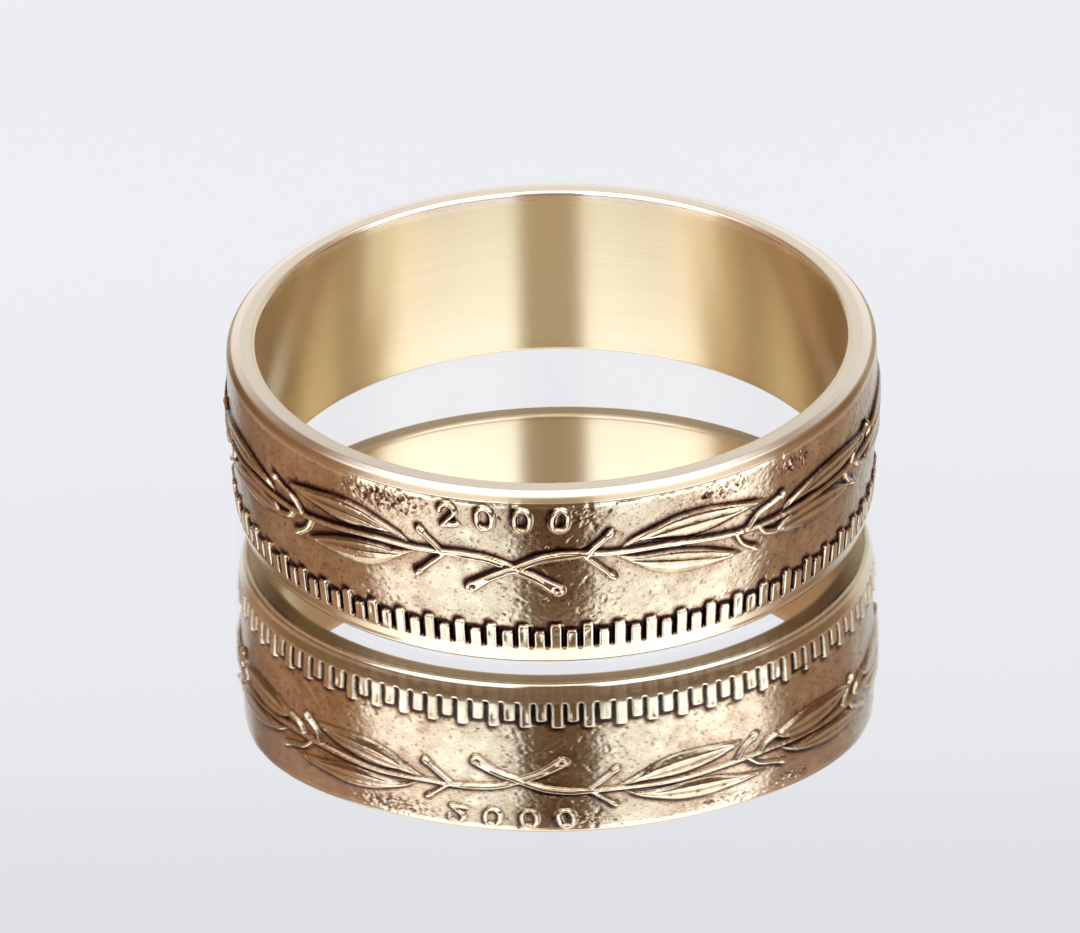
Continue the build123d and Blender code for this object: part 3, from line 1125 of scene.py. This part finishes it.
@dataclass(frozen=True)
class Studio:
    """A plain pale floor, a pale backdrop and two tall soft lights in front.

    The floor is a clear sheet over pale mirror foil, which sags towards the back, so the ring's
    mirror image hangs lower there. It is laid twice, once for the viewer and once for the ring's
    surface, because only the ring mirrors the lights and the dim front of the room.
    """

    extent: float = 900.0         # half width in mm
    sheet_depth: float = 0.004    # how far under the ring the clear sheet is
    twin_depth: float = 0.002     # and how far under it the one that the ring mirrors
    foil_depth: float = 0.10      # at the front
    foil_slope: float = 0.045
    bend: Pair = (-40.0, 120.0)   # the part of the floor with many rows, along y
    bend_rows: int = 321
    sag_start: float = -17.0      # from where to where the foil slopes
    sag_end: float = 30.0
    front_bend: float = 1.2       # how softly it starts and ends
    back_bend: float = 9.0
    pale: str = "F8F8F9"
    film_gloss: float = 0.03      # share of light that the clear sheet sends back face on,
    film_grazing: float = 0.9     # how much more it sends back at grazing sight
    film_power: float = 5.0       # and the power by which that sets in
    dim: Rgb = (0.29, 0.185, 0.12)
    side_left: Rgb = (0.76, 0.50, 0.40)
    side_right: Rgb = (0.74, 0.56, 0.50)
    side_fade: Pair = (0.45, 0.80)   # from the dim front to a side wall, across the room
    low_fade: Pair = (0.10, 0.36)    # from the dim foot of the room up
    back_fade: Pair = (0.58, 0.82)   # from the room to the backdrop
    back_skew: float = 0.15       # how much sooner the backdrop starts on the right
    cool: Rgb = (0.985, 0.99, 1.025)
    backdrop: tuple[Pair, ...] = (
        # sine of the elevation behind the ring, radiance
        (0.20, 1.05), (0.37, 0.975), (0.44, 0.90), (0.52, 0.85), (0.60, 0.80))
    overhead: Rgb = (2.3, 2.35, 2.6)
    top_fade: Pair = (0.72, 0.86)    # up to the lit ceiling
    top_lean: float = -0.02       # how much lower it starts at the back
    floor_meetings: float = 2.5   # Ray Depth is 2 for a ray that met the floor and then the room
    aim: float = 3.0              # height that the lights are aimed at
    distance: float = 200.0
    light_colour: Rgb = (0.83, 1.06, 1.55)
    lights: tuple[tuple[str, float, float, float, float, float], ...] = (
        # name, azimuth, half width, lowest and highest elevation in degrees, radiance
        ("soft_left", -42.5, 28.0, 14.0, 61.0, 2.60),
        ("soft_right", 46.0, 32.0, 14.0, 61.0, 2.70))

    def sheet(self, name: str, sags: bool, seen: bool) -> bpy.types.Object:
        """Make one sheet of the floor.

        Its height depends on y alone. The foil's falls by the slope times a ramp, the difference
        of two soft rectifiers w log(1 + exp(t / w)), which bends at the sag's start and end.

        Args:
            name: The object's name.
            sags: Whether it is the foil.
            seen: Whether the viewer sees it, or the ring's own surface does.

        Returns:
            The new object.
        """
        y = np.concatenate([[-self.extent], np.linspace(*self.bend, self.bend_rows),
                            [self.extent]])
        ramp_up = (np.logaddexp(0, (y - self.sag_start) / self.front_bend) * self.front_bend
                   - np.logaddexp(0, (y - self.sag_end) / self.back_bend) * self.back_bend)
        depth = self.foil_depth + self.foil_slope * ramp_up if sags else self.sheet_depth
        z = np.zeros(len(y)) - depth - (0.0 if seen else self.twin_depth)
        points = np.concatenate([np.column_stack([np.full(len(y), x), y, z])
                                 for x in (-self.extent, self.extent)]) * MM
        row = np.arange(len(y) - 1)
        faces = np.column_stack([row, row + len(y), row + len(y) + 1, row + 1])
        mesh = bpy.data.meshes.new(name)
        mesh.from_pydata(points.tolist(), [], faces.tolist())
        mesh.shade_smooth()
        made = bpy.data.objects.new(name, mesh)
        made.visible_camera, made.visible_glossy = seen, not seen
        bpy.context.scene.collection.objects.link(made)
        return made

    def clear_sheet(self) -> bpy.types.Material:
        """Make the clear sheet's finish: see-through, with a mirror gloss from above.

        The gloss grows with a power of how far the sight is from face on.

        Returns:
            The material.
        """
        material = empty_material("clear_film")
        tree = material.node_tree
        facing = node(tree, "LayerWeight", {"Blend": 0.5}).outputs["Facing"]
        grazing = node(tree, "Math", {0: facing, 1: self.film_power}, operation="POWER")
        share = node(tree, "Math", {0: grazing, 1: self.film_grazing, 2: self.film_gloss},
                     operation="MULTIPLY_ADD")
        under = node(tree, "NewGeometry").outputs["Backfacing"]
        above = node(tree, "Math", {0: 1.0, 1: under}, operation="SUBTRACT")
        sent = node(tree, "Math", {0: share, 1: above}, operation="MULTIPLY")
        both = node(tree, "MixShader", {0: sent, 1: node(tree, "BsdfTransparent"),
                                        2: node(tree, "BsdfGlossy", {"Roughness": 0.0})})
        node(tree, "OutputMaterial", {"Surface": both})
        return material

    def mirror_foil(self) -> bpy.types.Material:
        """Make the foil's finish: a pale, wholly smooth metal.

        Returns:
            The material.
        """
        material = empty_material("pale_mirror_foil")
        tree = material.node_tree
        shader = node(tree, "BsdfPrincipled", {"Base Color": linear(self.pale), "Metallic": 1.0,
                                               "Roughness": 0.0})
        node(tree, "OutputMaterial", {"Surface": shader})
        return material

    def lay_floor(self) -> bpy.types.Collection:
        """Lay the clear sheet on the foil, once for the viewer and once for the ring's surface.

        Returns:
            The viewer's floor, marked as what a light leaves out.
        """
        finishes = (("film", False, self.clear_sheet()), ("foil", True, self.mirror_foil()))
        floor = bpy.data.collections.new("seen_floor")
        for seen in (True, False):
            side = "seen" if seen else "mirrored"
            for name, sags, finish in finishes:
                made = self.sheet(f"floor_{name}_{side}", sags, seen)
                made.data.materials.append(finish)
                if seen:
                    floor.objects.link(made)
        for member in floor.collection_objects:
            member.light_linking.link_state = "EXCLUDE"
        return floor

    def hang_lights(self, floor: bpy.types.Collection) -> None:
        """Stand each soft light upright, its size and place from the angles that it fills.

        Args:
            floor: What the lights leave out.
        """
        for name, azimuth, half, low, high, radiance in self.lights:
            foot, head = (self.distance * tan(radians(edge)) for edge in (low, high))
            lamp = bpy.data.lights.new(name, "AREA")
            lamp.shape = "RECTANGLE"
            lamp.size = 2 * self.distance * tan(radians(half)) * MM
            lamp.size_y = (head - foot) * MM
            lamp.energy = radiance * pi * lamp.size * lamp.size_y
            lamp.color = self.light_colour
            away = Vector((sin(radians(azimuth)), -cos(radians(azimuth)), 0))
            hung = bpy.data.objects.new(name, lamp)
            height = Vector((0, 0, self.aim + (foot + head) / 2))
            hung.location = (away * self.distance + height) * MM
            hung.rotation_euler = away.to_track_quat("Z", "Y").to_euler()
            hung.visible_camera = False
            hung.light_linking.receiver_collection = floor
            bpy.context.scene.collection.objects.link(hung)

    def paint_surroundings(self) -> None:
        """Light the room: pale behind the ring, dim in front and bright overhead.

        A ray's own direction says which part of the room it meets: over the dim foot of the room
        come the walls, the backdrop and the ceiling in turn. What the viewer sees of the room,
        straight or in the floor, which is the one perfect mirror, is the backdrop alone.
        """
        world = bpy.data.worlds.new("studio")
        bpy.context.scene.world = world
        world.use_nodes = True
        tree = world.node_tree
        tree.nodes.clear()
        way = node(tree, "TexCoord").outputs["Generated"]
        parts = node(tree, "SeparateXYZ", {0: way}).outputs
        wall = node(tree, "ValToRGB", {"Fac": parts["Z"]}, stops=[
            (place, (*(level * c for c in self.cool), 1.0)) for place, level in self.backdrop])
        across = node(tree, "MapRange", {"Value": parts["X"], "From Min": -1.0})
        near, far = self.side_fade
        walls = node(tree, "ValToRGB", {"Fac": across}, stops=[
            (0.5 + 0.5 * place, (*level, 1.0)) for place, level in (
                (-far, self.side_left), (-near, self.dim), (near, self.dim),
                (far, self.side_right))])
        walls.color_ramp.interpolation = "EASE"
        skew = node(tree, "Math", {0: parts["X"], 1: self.back_skew, 2: parts["Y"]},
                    operation="MULTIPLY_ADD")
        lean = node(tree, "Math", {0: parts["Y"], 1: self.top_lean, 2: parts["Z"]},
                    operation="MULTIPLY_ADD")
        lit: bpy.types.Node | tuple[float, ...] = (*self.dim, 1.0)
        for value, (start, end), beyond in ((parts["Z"], self.low_fade, walls),
                                            (skew, self.back_fade, wall),
                                            (lean, self.top_fade, (*self.overhead, 1.0))):
            share = node(tree, "MapRange", {"Value": value, "From Min": start, "From Max": end},
                         interpolation_type="SMOOTHSTEP")
            lit = node(tree, "MixRGB", {"Fac": share, "Color1": lit, "Color2": beyond})
        path = node(tree, "LightPath").outputs
        first = node(tree, "Math", {0: path["Ray Depth"], 1: self.floor_meetings},
                     operation="LESS_THAN")
        mirrored = node(tree, "Math", {0: path["Is Singular Ray"], 1: first},
                        operation="MULTIPLY")
        plain = node(tree, "Math", {0: path["Is Camera Ray"], 1: mirrored}, operation="MAXIMUM")
        seen = node(tree, "MixRGB", {"Fac": plain, "Color1": lit, "Color2": wall})
        light = node(tree, "Background", {"Color": seen, "Strength": 1.0})
        node(tree, "OutputWorld", {"Surface": light})

    def build(self) -> None:
        """Lay the floor and set the light."""
        self.hang_lights(self.lay_floor())
        self.paint_surroundings()


@dataclass(frozen=True)
class Viewpoint:
    """Where the photograph was taken from: above the front, with a long lens."""

    place: tuple[float, float, float] = (-0.457, -155.317, 92.846)
    down: float = 30.593      # degrees under the horizon
    roll: float = -1.3105
    lens: float = 184.51
    sensor: float = 36.0
    clip: Pair = (10.0, 10000.0)

    def build(self) -> None:
        """Make the camera and give it to the scene."""
        camera = bpy.data.cameras.new("viewpoint")
        camera.lens, camera.sensor_width = self.lens, self.sensor
        camera.sensor_fit = "HORIZONTAL"
        camera.clip_start, camera.clip_end = (edge * MM for edge in self.clip)
        held = bpy.data.objects.new("viewpoint", camera)
        held.matrix_world = (Matrix.Translation(Vector(self.place) * MM)
                             @ Matrix.Rotation(radians(90 - self.down), 4, "X")
                             @ Matrix.Rotation(radians(self.roll), 4, "Z"))
        bpy.context.scene.collection.objects.link(held)
        bpy.context.scene.camera = held


def main() -> None:
    """Build the ring, then the studio and the viewpoint, and report each piece."""
    logging.basicConfig(level=logging.INFO, format="%(name)s: %(message)s")
    bpy.context.scene.view_settings.view_transform = "Standard"
    for piece in CoinRing().build():
        LOG.info("%s: %d faces", piece.name, len(piece.data.polygons))
    Studio().build()
    Viewpoint().build()
    LOG.info("floor, lights and viewpoint are in place")


if __name__ == "__main__":
    main()
